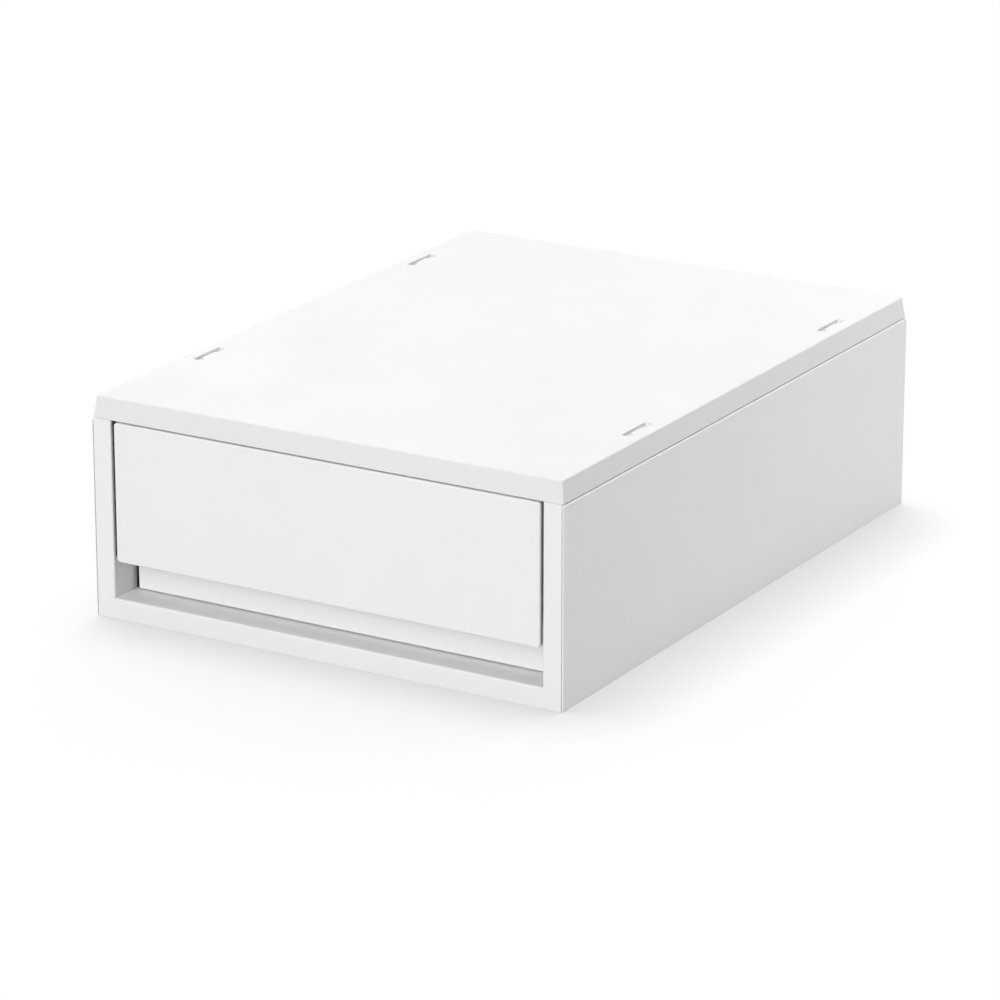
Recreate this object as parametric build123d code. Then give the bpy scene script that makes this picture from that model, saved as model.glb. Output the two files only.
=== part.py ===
from build123d import *
from math import atan2, degrees, tan, radians
import os

# A low moulded drawer unit for a desk: a case of snapped panels under a slotted lid, and one
# drawer. Millimetres, +Z up. The drawer opens towards -Y. The origin is the middle of the
# underside, on the surface that the case stands on.

# Overall sizes
case_width = 260.0  # over the two side panels
case_depth = 352.0  # face of the front frame to face of the back panel
case_height = 111.0  # floor to stacking face
lid_height = 11.0  # seam to stacking face

# Wall thicknesses
lid_wall = 2.2
side_wall = 2.2
back_wall = 2.2
base_wall = 2.2
frame_wall = 2.0
tray_wall = 1.8
plate_wall = 2.6  # drawer front
rib_wall = 1.4

# Clearances
panel_fit = 0.15  # between panels that locate in each other
run_gap = 0.1  # drawer skid over its runner
rest_gap = 0.2  # closed drawer to its rest stops
hold_gap = 1.0  # drawer rim under the lid's hold-down ribs
hold_inset = 0.3  # hold-down ribs inside the outer face of the drawer's sides
guide_gap = 0.8  # drawer side to base guide
post_gap = 1.6  # drawer front to each post
top_gap = 0.7  # drawer front to the lid
stop_gap = 2.5  # drawer rim under the lid's stop ribs

# Lid
seam_step = 0.5  # lid and frame stand this far inside the side panels
seam_gap = 0.35  # shadow gap between the lid and each side panel
lid_draft = 1.5  # lean of the skirt over its height
lid_corner = 0.9  # round of the lid's upright corners
lid_edge = 0.8  # round at the stacking face
seam_round = 0.4  # round along the lid's lower edge
lip_wall = 1.6
lip_depth = 4.0  # locating lip below the seam
lid_rib_depth = 4.0
lid_rib_columns = 3
lid_rib_rows = 5

# Stacking slots: shallow brackets, a narrow slit with an arm at each end
slot_side_inset = 10.2  # middle of a slot to the case's side
slot_front_inset = 86.3  # middle of a front slot to the case's front
slot_back_inset = 66.8  # middle of a rear slot to the case's back
slot_length = 23.2
slot_width = 4.5
slit_width = 2.5
slot_front_arm = 4.2
slot_land = 10.8  # length of the land between the two arms
slot_depth = 1.6
slot_floor = 1.4  # wall under a slot
pad_margin = 1.2  # thickened wall beyond a slot's edge

# Snap hooks and the catches that they hold
hook_width = 12.0
hook_wall = 1.8
hook_barb = 1.0
hook_lead = 3.6  # slope of the barb
hook_pitch = 145.0  # along each side of the lid
back_hook_pitch = 120.0  # along the back of the lid
catch_reach = 1.2
catch_wall = 2.0
catch_margin = 1.0  # catch beyond each side of its hook
catch_drop = 9.0  # top of the lid's catches below the seam
catch_inset = 8.0  # catches for the frame and back, from those panels' inner faces
low_hook_z = 32.0
high_hook_z = 68.0

# Case body
edge_round = 0.6  # round of the side panels' proud edges
side_corner = 1.5  # round of a side panel's upper corners
lap_wall = 1.3  # side panels' lip that reaches round the frame
nose_wall = 0.6  # thinner end of that lip, beside the frame's face
nose_length = 0.7
nose_setback = 0.1  # end of the lip behind the frame's face
nose_gap = 0.35  # shadow gap between the lip's end and the frame's face
foot_wall = 2.0
foot_width = 4.0  # side panels' foot flange
end_foot_width = 10.0  # foot flange of the frame and of the back
groove_lip = 1.6
groove_depth = 2.5
side_rib_depth = 3.0
side_rib_count = 6
side_rib_drop = 16.0  # top of the ribs below the seam
back_rib_count = 5
back_rib_depth = 3.0

# Front frame
post_width = 10.8  # measured from the case's side
rail_height = 10.3
frame_depth = 19.0  # how far the lining of the finger pocket runs back
lining_rise = 2.0  # lining up past the lower edge of the drawer front
mouth_round = 1.0
frame_round = 0.25  # outer edges of the frame's face
post_web_count = 3
tongue_height = 6.0  # tongue on each post that locates the lid
tongue_wall = 1.6
tongue_width = 5.0

# Base
runner_pitch = 200.0  # middle of one runner to middle of the other
runner_wall = 1.6
runner_span = 5.0  # over the two walls of one runner
guide_height = 16.0  # base guides above the base plate
guide_wall = 1.6
guide_setback = 6.0  # base guides start this far behind the pocket's lining
base_rib_height = 3.0
base_rib_count = 5

# Drawer
drawer_travel = 280.0
plate_setback = 0.2  # drawer front behind the frame's face
plate_bottom = 29.0
plate_corner = 1.8
plate_round = 1.0
grip_depth = 4.5  # turned-in lower edge of the drawer front
grip_wall = 2.0
tray_inset = 0.5  # tray side inside the drawer front's side, at the rim
tray_draft = 0.5  # degrees
tray_corner = 8.0
tray_lift = 0.8  # underside of the tray above the rail
tray_floor_round = 3.0
tray_edge_round = 0.8
rim_z = 92.0
rim_wall = 1.8
rim_reach = 1.0
pocket_depth = 16.9  # finger pocket, behind the frame's face
pocket_top = 40.0
skid_width = 4.0
lug_width = 14.0
lug_wall = 2.0
lug_pitch = 180.0
lug_overlap = 2.5  # lug up past the bottom of its stop rib
stop_rib_depth = 6.0  # rest stops in front of the back panel
stop_rib_pitch = 140.0
stop_rib_low_z = 30.0
window_height = 4.0
window_margin = 0.5  # at each side of a drawer-front hook
front_hook_width = 10.0
front_hook_wall = 1.6
front_hook_pitch = 85.0
front_hook_low_z = 50.0
front_hook_high_z = 80.0

# Places worked out from the sizes above
half_width = case_width / 2
front_y = -case_depth / 2
back_y = case_depth / 2
seam_z = case_height - lid_height
lid_under_z = case_height - lid_wall
lid_half_width = half_width - seam_step
lid_half_depth = case_depth / 2 - seam_step
side_inner = half_width - side_wall
back_inner = back_y - back_wall
frame_inner = front_y + frame_wall
catch_top_z = seam_z - catch_drop
groove_z = foot_wall + base_wall + panel_fit
mouth_half = half_width - post_width
plate_half = mouth_half - post_gap
plate_top = seam_z - top_gap
plate_face_y = front_y + plate_setback
tray_front = plate_face_y + plate_wall
tray_half = plate_half - tray_inset
tray_rear = back_inner - stop_rib_depth - rest_gap - rim_reach
tray_bottom = rail_height + tray_lift
pocket_y = front_y + pocket_depth
hold_z = rim_z + hold_gap
stop_z = rim_z + stop_gap
side_seam_z = seam_z - seam_gap
slot_pitch_x = case_width - 2 * slot_side_inset
slot_pitch_y = case_depth - slot_front_inset - slot_back_inset
slot_shift_y = (slot_front_inset - slot_back_inset) / 2
slot_centres = Pos(0, slot_shift_y) * GridLocations(slot_pitch_x, slot_pitch_y, 2, 2)


def block(x_low, x_high, y_low, y_high, z_low, z_high):
    """A rectangular block between two corners."""
    middle = ((x_low + x_high) / 2, (y_low + y_high) / 2, (z_low + z_high) / 2)
    return Pos(*middle) * Box(x_high - x_low, y_high - y_low, z_high - z_low)


def along_x(outline, x_low, x_high):
    """Extrude an outline of (y, z) points from x_low to x_high."""
    face = make_face(Polyline([(x_low, y, z) for y, z in outline], close=True))
    return extrude(face, amount=x_high - x_low, dir=(1, 0, 0))


def along_y(outline, y_low, y_high):
    """Extrude an outline of (x, z) points from y_low to y_high."""
    face = make_face(Polyline([(x, y_low, z) for x, z in outline], close=True))
    return extrude(face, amount=y_high - y_low, dir=(0, 1, 0))


def along_z(outline, z_low, z_high):
    """Extrude an outline of (x, y) points from z_low to z_high."""
    face = make_face(Polyline([(x, y, z_low) for x, y in outline], close=True))
    return extrude(face, amount=z_high - z_low, dir=(0, 0, 1))


def spread(low, high, count):
    """Even places between low and high, with half a gap at each end."""
    step = (high - low) / count
    return [low + step * (index + 0.5) for index in range(count)]


def mirrored(shape):
    """The shape with its mirror image across the middle plane."""
    return shape + mirror(shape, Plane.YZ)


def hook_outline(wall, root, barb, tip):
    """Snap hook beside a wall: across the wall first, then along the hook."""
    outer = wall - catch_reach - panel_fit
    inner = outer - hook_wall
    return [(inner, root), (outer, root), (outer, barb), (outer + hook_barb, barb),
            (outer, tip), (inner, tip)]


def slot_outline():
    """Plan of one stacking slot, a bracket that opens towards +X."""
    land_y = slot_front_arm + slot_land / 2 - slot_length / 2
    land = Pos(slit_width / 2, land_y) * Rectangle(slot_width - slit_width, slot_land)
    return Rectangle(slot_width, slot_length) - land


def stack_slots(low_z, high_z):
    """The four slots as solids to cut from a panel."""
    plan = Sketch() + [centre * slot_outline() for centre in slot_centres]
    return extrude(Pos(0, 0, low_z) * plan, amount=high_z - low_z)


def slot_pads(low_z, high_z):
    """Thicker wall behind the four slots, to close them."""
    pad = Rectangle(slot_width + 2 * pad_margin, slot_length + 2 * pad_margin)
    plan = Sketch() + [centre * pad for centre in slot_centres]
    return extrude(Pos(0, 0, low_z) * plan, amount=high_z - low_z)


def make_top_panel():
    """Lid: drafted skirt, locating lip, ribs, snap hooks and stacking slots."""
    lean = degrees(atan2(lid_draft, lid_height))
    outline = Rectangle(2 * lid_half_width, 2 * lid_half_depth)
    outer = extrude(Pos(0, 0, seam_z) * outline, amount=lid_height, taper=lean)
    upright = outer.edges().group_by(Axis.Z)[1]
    outer = fillet(upright, lid_corner)
    outer = fillet(outer.faces().sort_by(Axis.Z)[-1].edges(), lid_edge)
    outer = fillet(outer.faces().sort_by(Axis.Z)[0].edges(), seam_round)
    hollow = Rectangle(2 * (lid_half_width - lid_wall), 2 * (lid_half_depth - lid_wall))
    lid = outer - extrude(Pos(0, 0, seam_z) * hollow, amount=lid_height - lid_wall, taper=lean)

    # locating lip inside the side and back panels
    lip_half = side_inner - panel_fit
    lip_front = front_y + frame_depth + panel_fit
    lip_back = back_inner - panel_fit
    lip = block(-lip_half, lip_half, lip_front, lip_back, seam_z - lip_depth, lid_under_z)
    lip -= block(lip_wall - lip_half, lip_half - lip_wall, lip_front - 1, lip_back - lip_wall,
                 seam_z - lip_depth - 1, lid_under_z)
    lid += lip

    # hold-down ribs over the drawer's rims, and the rib grid between them
    hold_x = tray_half - hold_inset
    hold_front = tray_front + tray_wall + rib_wall
    hold = block(hold_x - rib_wall, hold_x, hold_front, lip_back - lip_wall, hold_z, lid_under_z)
    lid += mirrored(hold)
    rib_z = lid_under_z - lid_rib_depth
    rib_front = front_y + seam_step + lid_draft + lid_wall / 2
    for x in spread(-hold_x, hold_x, lid_rib_columns):
        lid += block(x - rib_wall / 2, x + rib_wall / 2, rib_front, lip_back, rib_z, lid_under_z)
    for y in spread(front_y, back_y, lid_rib_rows):
        lid += block(-hold_x, hold_x, y - rib_wall / 2, y + rib_wall / 2, rib_z, lid_under_z)

    # stops that catch the drawer's lugs at full travel
    stop_back = tray_rear - lug_wall - drawer_travel
    stop = block(-lug_width / 2, lug_width / 2, stop_back - lug_wall, stop_back, stop_z,
                 lid_under_z)
    lid += Pos(lug_pitch / 2, 0) * stop + Pos(-lug_pitch / 2, 0) * stop

    # snap hooks along the sides and the back
    barb_z = catch_top_z - catch_wall - panel_fit
    section = hook_outline(side_inner, lid_under_z, barb_z, barb_z - hook_lead)
    for y in [slot_shift_y - hook_pitch, slot_shift_y, slot_shift_y + hook_pitch]:
        lid += mirrored(along_y(section, y - hook_width / 2, y + hook_width / 2))
    section = hook_outline(back_inner, lid_under_z, barb_z, barb_z - hook_lead)
    hook_x = back_hook_pitch / 2
    lid += mirrored(along_x(section, hook_x - hook_width / 2, hook_x + hook_width / 2))

    slot_low_z = case_height - slot_depth
    lid += slot_pads(slot_low_z - slot_floor, lid_under_z)
    return lid - stack_slots(slot_low_z, case_height + 1)


def make_side_panel():
    """Right-hand wall with foot flange, base groove, ribs and catches."""
    nose_y = front_y + nose_setback
    panel = block(side_inner, half_width, nose_y, back_y, 0, side_seam_z)
    corners = panel.edges().filter_by(Axis.X).group_by(Axis.Z)[-1]
    panel = fillet(corners, side_corner)
    panel = fillet(panel.faces().sort_by(Axis.X)[-1].edges(), edge_round)
    panel -= block(side_inner - 1, half_width - lap_wall, nose_y - 1, frame_inner, -1, seam_z)
    panel -= block(side_inner - 1, half_width - nose_wall, nose_y - 1, front_y + nose_length,
                   -1, seam_z)

    flange_front = front_y + end_foot_width + panel_fit
    flange_back = back_y - end_foot_width - panel_fit
    panel += block(side_inner - foot_width, side_inner, flange_front, flange_back, 0, foot_wall)
    panel += block(side_inner - groove_depth, side_inner, flange_front, flange_back, groove_z,
                   groove_z + groove_lip)
    for y in spread(flange_front, flange_back, side_rib_count):
        panel += block(side_inner - side_rib_depth, side_inner, y - rib_wall / 2,
                       y + rib_wall / 2, groove_z + groove_lip, seam_z - side_rib_drop)

    # catches for the lid's hooks, then for those of the frame and the back
    half_catch = hook_width / 2 + catch_margin
    catch_inner = side_inner - catch_reach
    for y in [slot_shift_y - hook_pitch, slot_shift_y, slot_shift_y + hook_pitch]:
        panel += block(catch_inner, side_inner, y - half_catch, y + half_catch,
                       catch_top_z - catch_wall, catch_top_z)
    for z in [low_hook_z, high_hook_z]:
        for y in [frame_inner + catch_inset, back_inner - catch_inset - catch_wall]:
            panel += block(catch_inner, side_inner, y, y + catch_wall, z - half_catch,
                           z + half_catch)
    return panel


def is_mouth_edge(middle):
    """Whether an edge of the frame's face bounds the drawer's mouth."""
    inside = abs(middle.X) < mouth_half + frame_wall
    return inside and rail_height - frame_wall < middle.Z < seam_z - top_gap


def is_outer_edge(middle, frame_half):
    """Whether an edge of the frame's face is at its foot or at one of its sides."""
    return abs(middle.X) > frame_half - frame_wall or middle.Z < frame_wall / 2


def make_front_frame():
    """U of two posts and a rail, with a lined finger pocket."""
    frame_half = half_width - nose_wall - nose_gap
    face = [(-frame_half, 0), (frame_half, 0), (frame_half, seam_z), (mouth_half, seam_z),
            (mouth_half, rail_height), (-mouth_half, rail_height), (-mouth_half, seam_z),
            (-frame_half, seam_z)]
    frame = along_y(face, front_y, frame_inner)

    # lining of the finger pocket
    lining_half = mouth_half + frame_wall
    lining = block(-lining_half, lining_half, front_y, front_y + frame_depth,
                   rail_height - frame_wall, plate_bottom + lining_rise)
    mouth = block(-mouth_half, mouth_half, front_y - 1, front_y + frame_depth + 1, rail_height,
                  seam_z + 1)
    frame = frame + lining - mouth

    # rebate at each side for the side panels' lips
    rebate_half = half_width - lap_wall - panel_fit
    frame -= mirrored(block(rebate_half, half_width, front_y + nose_length - panel_fit,
                            frame_inner + 1, -1, seam_z + 1))
    face_edges = frame.faces().sort_by(Axis.Y)[0].edges()
    mouth_edges = [edge for edge in face_edges if is_mouth_edge(edge.center())]
    frame = fillet(mouth_edges, mouth_round)
    face_edges = frame.faces().sort_by(Axis.Y)[0].edges()
    outer_edges = [edge for edge in face_edges if is_outer_edge(edge.center(), frame_half)]
    frame = fillet(outer_edges, frame_round)

    # foot flange under the base plate, webs and caps in the posts
    inner_half = side_inner - panel_fit
    frame += block(-inner_half, inner_half, frame_inner, front_y + end_foot_width, 0, foot_wall)
    web_back = front_y + end_foot_width
    for z in spread(rail_height, seam_z, post_web_count):
        frame += mirrored(block(lining_half, inner_half, frame_inner, web_back, z - rib_wall / 2,
                                z + rib_wall / 2))
    frame += mirrored(block(lining_half, inner_half, frame_inner, web_back, seam_z - rib_wall,
                            seam_z))

    # tongues that hold the lid's front skirt
    tongue_y = front_y + seam_step + lid_wall + lid_draft + panel_fit
    frame += mirrored(block(lining_half, lining_half + tongue_width, tongue_y,
                            tongue_y + tongue_wall, seam_z, seam_z + tongue_height))

    barb_y = frame_inner + catch_inset + catch_wall + panel_fit
    section = hook_outline(side_inner, frame_inner, barb_y, barb_y + hook_lead)
    for z in [low_hook_z, high_hook_z]:
        frame += mirrored(along_z(section, z - hook_width / 2, z + hook_width / 2))
    return frame


def make_back_panel():
    """Rear wall with foot flange, ribs, rest stops for the drawer, and hooks."""
    inner_half = side_inner - panel_fit
    back = block(-inner_half, inner_half, back_inner, back_y, 0, seam_z)
    back += block(-inner_half, inner_half, back_y - end_foot_width, back_inner, 0, foot_wall)
    for x in spread(-inner_half, inner_half, back_rib_count):
        back += block(x - rib_wall / 2, x + rib_wall / 2, back_inner - back_rib_depth, back_inner,
                      groove_z + groove_lip, seam_z - side_rib_drop)

    stop_x = stop_rib_pitch / 2
    back += mirrored(block(stop_x - rib_wall, stop_x + rib_wall, back_inner - stop_rib_depth,
                           back_inner, stop_rib_low_z, rim_z))

    half_catch = hook_width / 2 + catch_margin
    hook_x = back_hook_pitch / 2
    back += mirrored(block(hook_x - half_catch, hook_x + half_catch, back_inner - catch_reach,
                           back_inner, catch_top_z - catch_wall, catch_top_z))

    barb_y = back_inner - catch_inset - catch_wall - panel_fit
    section = hook_outline(side_inner, back_inner, barb_y, barb_y - hook_lead)
    for z in [low_hook_z, high_hook_z]:
        back += mirrored(along_z(section, z - hook_width / 2, z + hook_width / 2))
    return back


def make_bottom_panel():
    """Floor plate with runners, side guides, ribs and stacking slots."""
    plate_half_width = side_inner - panel_fit
    plate_front = frame_inner + panel_fit
    plate_back = back_inner - panel_fit
    top_z = foot_wall + base_wall
    base = block(-plate_half_width, plate_half_width, plate_front, plate_back, foot_wall, top_z)

    rail_front = front_y + frame_depth + panel_fit
    rail_back = back_inner - back_rib_depth - panel_fit
    runner_x = runner_pitch / 2 + runner_span / 2
    for x in [runner_x, runner_x - runner_span + runner_wall]:
        base += mirrored(block(x - runner_wall, x, rail_front, rail_back, top_z, rail_height))
    guide_x = tray_half + guide_gap
    base += mirrored(block(guide_x, guide_x + guide_wall, rail_front + guide_setback, rail_back,
                           top_z, top_z + guide_height))
    for y in spread(rail_front, rail_back, base_rib_count):
        base += block(-guide_x, guide_x, y - rib_wall / 2, y + rib_wall / 2, top_z,
                      top_z + base_rib_height)

    slot_high_z = foot_wall + slot_depth
    base += slot_pads(top_z, slot_high_z + slot_floor)
    return base - stack_slots(foot_wall - 1, slot_high_z)


def make_drawer_tray():
    """Open tray: stepped front over the finger pocket, rim, skids and stop lugs."""
    length = tray_rear - tray_front
    middle = (tray_rear + tray_front) / 2
    floor_z = tray_bottom + tray_wall
    plan = Pos(0, middle, rim_z) * RectangleRounded(2 * tray_half, length, tray_corner)
    outer = extrude(plan, amount=tray_bottom - rim_z, taper=tray_draft)
    outer = fillet(outer.faces().sort_by(Axis.Z)[0].edges(), tray_edge_round)
    tray = outer - block(-half_width, half_width, front_y, pocket_y, 0, pocket_top)

    # rim round the sides and the rear
    rim_plan = RectangleRounded(2 * (tray_half + rim_reach), length + rim_reach,
                                tray_corner + rim_reach)
    rim = extrude(Pos(0, middle + rim_reach / 2, rim_z) * rim_plan, amount=-rim_wall)
    rim += block(-tray_half, tray_half, tray_front, tray_front + tray_corner, rim_z - rim_wall,
                 rim_z)
    tray += rim

    inner_plan = RectangleRounded(2 * (tray_half - tray_wall), length - 2 * tray_wall,
                                  tray_corner - tray_wall)
    inner = extrude(Pos(0, middle, rim_z) * inner_plan, amount=floor_z - rim_z, taper=tray_draft)
    inner = fillet(inner.faces().sort_by(Axis.Z)[0].edges(), tray_floor_round)
    inner -= block(-half_width, half_width, front_y, pocket_y + tray_wall, 0,
                   pocket_top + tray_wall)
    tray -= inner

    # skids that run on the base, and lugs that meet the lid's stops
    skid_x = runner_pitch / 2
    skid_back = tray_rear - tray_corner
    tray += mirrored(block(skid_x - skid_width / 2, skid_x + skid_width / 2,
                           pocket_y + tray_wall, skid_back, rail_height + run_gap, tray_bottom))
    lug = block(-lug_width / 2, lug_width / 2, tray_rear - lug_wall, tray_rear, rim_z,
                stop_z + lug_overlap)
    tray += Pos(lug_pitch / 2, 0) * lug + Pos(-lug_pitch / 2, 0) * lug

    # windows for the drawer front's hooks
    for x, z in front_hook_places():
        half = front_hook_width / 2 + window_margin
        tray -= block(x - half, x + half, tray_front - 1, tray_front + 2 * tray_wall,
                      z - window_height / 2, z + window_height / 2)
    return tray


def front_hook_places():
    """Middle of each hook that holds the drawer front to the tray, as (x, z)."""
    columns = [-front_hook_pitch, 0, front_hook_pitch]
    return [(x, z) for x in columns for z in [front_hook_low_z, front_hook_high_z]]


def make_drawer_front():
    """Flat plate with rounded edges, a turned-in grip edge and six hooks."""
    back = plate_face_y + plate_wall
    plate = block(-plate_half, plate_half, plate_face_y, back, plate_bottom, plate_top)
    plate = fillet(plate.edges().filter_by(Axis.Y), plate_corner)
    plate = fillet(plate.faces().sort_by(Axis.Y)[0].edges(), plate_round)
    grip_half = tray_half - tray_wall
    plate += block(-grip_half, grip_half, back, back + grip_depth, plate_bottom,
                   plate_bottom + grip_wall)

    # hooks pass through the tray's front wall, which leans back by its draft
    for x, z in front_hook_places():
        wall_back = tray_front + tray_wall + (rim_z - z) * tan(radians(tray_draft)) + panel_fit
        top = z + front_hook_wall / 2
        outline = [(back, z - front_hook_wall / 2), (back, top), (wall_back, top),
                   (wall_back, top + hook_barb + window_height / 2 - front_hook_wall / 2),
                   (wall_back + hook_lead, top), (wall_back + hook_lead, z - front_hook_wall / 2)]
        plate += along_x(outline, x - front_hook_width / 2, x + front_hook_width / 2)
    return plate


def main():
    """Build every piece and write it under its own name."""
    side_panel = make_side_panel()
    pieces = {
        "top_panel": make_top_panel(),
        "side_panel_right": side_panel,
        "side_panel_left": mirror(side_panel, Plane.YZ),
        "front_frame": make_front_frame(),
        "back_panel": make_back_panel(),
        "bottom_panel": make_bottom_panel(),
        "drawer_tray": make_drawer_tray(),
        "drawer_front": make_drawer_front(),
    }
    os.makedirs("parts", exist_ok=True)
    for name, piece in pieces.items():
        export_step(piece, f"parts/{name}.step")
        print(name, len(piece.solids()), round(piece.volume))


main()
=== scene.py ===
import math

import bpy
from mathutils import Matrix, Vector

# A white moulded drawer unit on a white sweep. Metres, +Z up, the drawer opens towards -Y.

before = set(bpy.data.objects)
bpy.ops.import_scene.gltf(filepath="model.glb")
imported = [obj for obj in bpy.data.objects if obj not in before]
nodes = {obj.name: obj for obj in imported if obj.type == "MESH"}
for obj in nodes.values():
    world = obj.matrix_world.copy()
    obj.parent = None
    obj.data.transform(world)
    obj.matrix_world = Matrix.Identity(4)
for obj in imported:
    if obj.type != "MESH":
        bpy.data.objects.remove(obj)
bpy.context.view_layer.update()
scene = bpy.context.scene


# ---- shader helpers ----

class Shader:
    """The node tree of a material or world, with short calls to add and join its nodes."""

    def __init__(self, owner):
        owner.use_nodes = True
        self.tree = owner.node_tree
        self.tree.nodes.clear()

    def add(self, kind, inputs=None, **settings):
        """Add a node. Each input is a number, a colour or another node's socket."""
        node = self.tree.nodes.new(kind)
        for key, value in settings.items():
            setattr(node, key, value)
        for key, value in (inputs or {}).items():
            if isinstance(value, bpy.types.NodeSocket):
                self.tree.links.new(value, node.inputs[key])
            else:
                node.inputs[key].default_value = value
        return node

    def noise(self, place, scale, detail, roughness=0.5):
        node = self.add("ShaderNodeTexNoise", {"Vector": place, "Scale": scale,
                                               "Detail": detail, "Roughness": roughness})
        return node.outputs["Fac"]

    def spread(self, value, low, high, start=0.0, stop=1.0):
        """Take a value's range start..stop to low..high."""
        node = self.add("ShaderNodeMapRange", {"Value": value, "From Min": start,
                                               "From Max": stop, "To Min": low, "To Max": high})
        return node.outputs["Result"]

    def math(self, operation, first, second):
        node = self.add("ShaderNodeMath", {0: first, 1: second}, operation=operation)
        return node.outputs[0]

    def place(self, offset):
        """Real positions in metres, moved so that no two pieces share a pattern."""
        position = self.add("ShaderNodeTexCoord").outputs["Object"]
        moved = self.add("ShaderNodeVectorMath", {0: position, 1: offset}, operation="ADD")
        return moved.outputs[0]

    def seen(self):
        """1 for what is seen, mirrored or looked through, and 0 for what only lights."""
        ray = self.add("ShaderNodeLightPath").outputs
        mirrored = self.math("MAXIMUM", ray["Is Glossy Ray"], ray["Is Transmission Ray"])
        return self.math("MAXIMUM", ray["Is Camera Ray"], mirrored)

    def choose(self, factor, first, second):
        """The first shader where the factor is 0 and the second where it is 1."""
        return self.add("ShaderNodeMixShader", {0: factor, 1: first, 2: second}).outputs[0]


def grey(tone):
    return (tone, tone, tone, 1.0)


# ---- moulded plastic ----

# scales are per metre, depths in metres
tone_spread = 0.01  # share by which the tone drifts either way
drift_scale, drift_share = 7.0, 0.65  # slow drift across a panel
cloud_scale, cloud_share = 60.0, 0.35  # finer clouding from the flow of the melt
grain_scale, pit_scale, pit_share = 2600.0, 1700.0, 0.35  # spark-eroded texture
grain_depth, grain_strength = 0.000012, 0.6
wave_scale, wave_depth, wave_strength = 14.0, 0.0004, 0.25  # faint waviness of the faces
handled_scale = 22.0  # patches polished by handling
polished, matt = 0.42, 0.52  # roughness there and elsewhere
grain_roughness = 0.03  # what the grain takes off it or adds
refraction, specular = 1.46, 0.4


def moulded_plastic(name, tone, offset):
    """Injection-moulded white plastic with a fine spark-eroded texture."""
    material = bpy.data.materials.new(name)
    shader = Shader(material)
    place = shader.place(offset)

    drift = shader.noise(place, drift_scale, 2.0)
    cloud = shader.noise(place, cloud_scale, 4.0, 0.6)
    mixed = shader.math("ADD", shader.math("MULTIPLY", drift, drift_share),
                        shader.math("MULTIPLY", cloud, cloud_share))
    ramp = shader.add("ShaderNodeMix", {"Factor": shader.spread(mixed, 0.0, 1.0, 0.35, 0.65),
                                        "A": grey(tone * (1 - tone_spread)),
                                        "B": grey(tone * (1 + tone_spread))}, data_type="RGBA")

    grain = shader.noise(place, grain_scale, 2.0, 0.55)
    pits = shader.add("ShaderNodeTexVoronoi", {"Vector": place, "Scale": pit_scale})
    height = shader.math("ADD", grain,
                         shader.math("MULTIPLY", pits.outputs["Distance"], pit_share))
    wave = shader.noise(place, wave_scale, 1.0)
    fine = shader.add("ShaderNodeBump", {"Height": height, "Distance": grain_depth,
                                         "Strength": grain_strength})
    bump = shader.add("ShaderNodeBump", {"Height": wave, "Distance": wave_depth,
                                         "Strength": wave_strength,
                                         "Normal": fine.outputs["Normal"]})

    handled = shader.noise(place, handled_scale, 3.0, 0.55)
    roughness = shader.math("ADD", shader.spread(handled, polished, matt, 0.3, 0.7),
                            shader.spread(grain, -grain_roughness, grain_roughness))
    surface = shader.add("ShaderNodeBsdfPrincipled", {
        "Base Color": ramp.outputs["Result"], "Roughness": roughness, "IOR": refraction,
        "Specular IOR Level": specular, "Normal": bump.outputs["Normal"]})
    shader.add("ShaderNodeOutputMaterial", {"Surface": surface.outputs["BSDF"]})
    return material


finishes = {  # tone, and how far the pattern is moved
    "top_panel": (0.786, (0.0, 0.0, 0.0)),
    "side_panel_right": (0.860, (1.3, 0.2, 0.0)),
    "side_panel_left": (0.860, (2.1, 0.7, 0.0)),
    "front_frame": (0.860, (3.4, 0.1, 0.0)),
    "back_panel": (0.860, (4.2, 0.9, 0.0)),
    "bottom_panel": (0.860, (5.5, 0.4, 0.0)),
    "drawer_tray": (0.880, (6.7, 0.3, 0.0)),
    "drawer_front": (0.855, (7.9, 0.6, 0.0)),
}
for name, (tone, offset) in finishes.items():
    materials = nodes[name].data.materials
    materials.clear()
    materials.append(moulded_plastic(name + "_plastic", tone, offset))


# ---- floor ----

floor_size = 40.0
floor_reflectance = 0.6
darkest_painted_shadow = 0.501  # painted shadow: the glow of a floor point that sees no sky at all
painted_shadow_parts = [  # painted shadow from ambient occlusion, not from lamps: how much glow an unblocked point adds, how far it is blocked from, its tilted middle
    (0.321, 0.05, (-0.497, 0.287, 0.819)),
    (0.234, 0.60, (-0.310, 0.852, 0.423)),
]

# The floor seen by the camera is a glow with painted shadow: ambient occlusion around normals
# tilted to the back left darkens it in front of and right of the unit, and the lamps light only
# the plain paper that other rays see.
floor_material = bpy.data.materials.new("floor_paper")
shader = Shader(floor_material)
tone = darkest_painted_shadow
for share, reach, side in painted_shadow_parts:
    normal = shader.add("ShaderNodeCombineXYZ", dict(zip("XYZ", side)))
    unshaded_share = shader.add("ShaderNodeAmbientOcclusion",
                          {"Distance": reach, "Normal": normal.outputs[0]}).outputs["AO"]
    tone = shader.math("ADD", shader.math("MULTIPLY", unshaded_share, share), tone)
tone = shader.math("MINIMUM", tone, 1.0)
paper = shader.add("ShaderNodeBsdfDiffuse", {"Color": grey(floor_reflectance)})
glow_with_painted_shadow = shader.add("ShaderNodeEmission", {"Color": grey(1.0), "Strength": tone})
either = shader.choose(shader.seen(), paper.outputs[0], glow_with_painted_shadow.outputs[0])
shader.add("ShaderNodeOutputMaterial", {"Surface": either})

floor_mesh = bpy.data.meshes.new("floor")
half = floor_size / 2
floor_mesh.from_pydata([(-half, -half, 0), (half, -half, 0), (half, half, 0), (-half, half, 0)],
                       [], [(0, 1, 2, 3)])
floor_mesh.materials.append(floor_material)
floor = bpy.data.objects.new("floor", floor_mesh)
scene.collection.objects.link(floor)


# ---- world: plain white where it is seen or mirrored, and a weak fill otherwise ----

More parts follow.
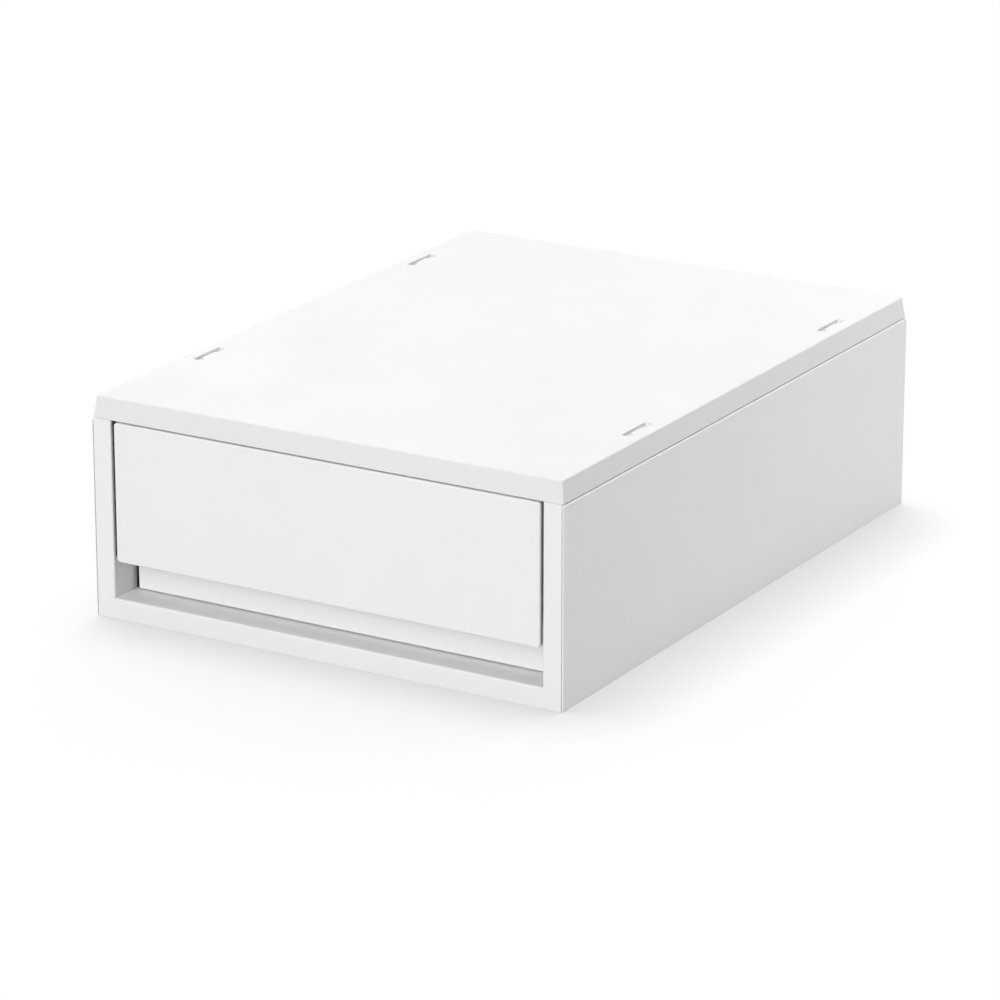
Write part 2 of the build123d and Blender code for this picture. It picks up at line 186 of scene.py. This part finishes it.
fill_strength = 0.08
white_strength = 1.0
scene.world = bpy.data.worlds.new("studio")
shader = Shader(scene.world)
fill, white = [shader.add("ShaderNodeBackground", {"Color": grey(1.0), "Strength": strength})
               for strength in (fill_strength, white_strength)]
either = shader.choose(shader.seen(), fill.outputs[0], white.outputs[0])
shader.add("ShaderNodeOutputWorld", {"Surface": either})


# ---- lamps ----

def soft_box(name, place, target, size, watts):
    """A rectangular lamp that faces its target."""
    lamp = bpy.data.lights.new(name, "AREA")
    lamp.shape = "RECTANGLE"
    lamp.size, lamp.size_y = size
    lamp.energy = watts
    holder = bpy.data.objects.new(name, lamp)
    holder.location = place
    aim = Vector(target) - Vector(place)
    holder.rotation_euler = aim.to_track_quat("-Z", "Y").to_euler()
    scene.collection.objects.link(holder)
    return holder


middle = (0.0, 0.0, 0.05)
side_back = (0.13, 0.3, 0.06)  # beside the rear of the right side
lamps = [  # name, place, target, width and height, watts
    ("overhead", (0.1, 0.2, 2.6), middle, (2.4, 2.4), 43.5),
    ("front_low", (0.0, -5.6, 1.55), middle, (1.0, 2.6), 156.0),
    ("front_high", (0.0, -4.8, 3.55), middle, (1.0, 1.8), 66.0),
    ("right_low", (2.9, 0.2, 0.5), middle, (2.0, 0.9), 14.0),
    ("left_low", (-2.9, 0.2, 0.5), middle, (2.0, 0.9), 9.0),
    ("right_near", (0.95, 0.75, 0.45), side_back, (0.5, 0.4), 3.2),
    ("back", (-0.2, 2.8, 1.4), middle, (2.2, 1.3), 14.0),
    ("back_left", (-2.0, 2.0, 1.6), middle, (1.5, 1.3), 14.5),
]
for lamp in lamps:
    holder = soft_box(*lamp)
    holder.visible_glossy = not holder.name.startswith("front")  # no glare on the lid from behind


# ---- camera ----

camera_place = (1.13249, -1.92383, 0.77765)
camera_yaw = math.radians(30.653)
camera_pitch = math.radians(18.518)
camera = bpy.data.cameras.new("camera")
camera.sensor_width = 36.0
camera.lens = 169.85
camera.clip_start = 0.05
camera.clip_end = 200.0
holder = bpy.data.objects.new("camera", camera)
holder.location = camera_place
holder.rotation_euler = (math.pi / 2 - camera_pitch, 0.0, camera_yaw)
scene.collection.objects.link(holder)
scene.camera = holder

scene.view_settings.view_transform = "Standard"
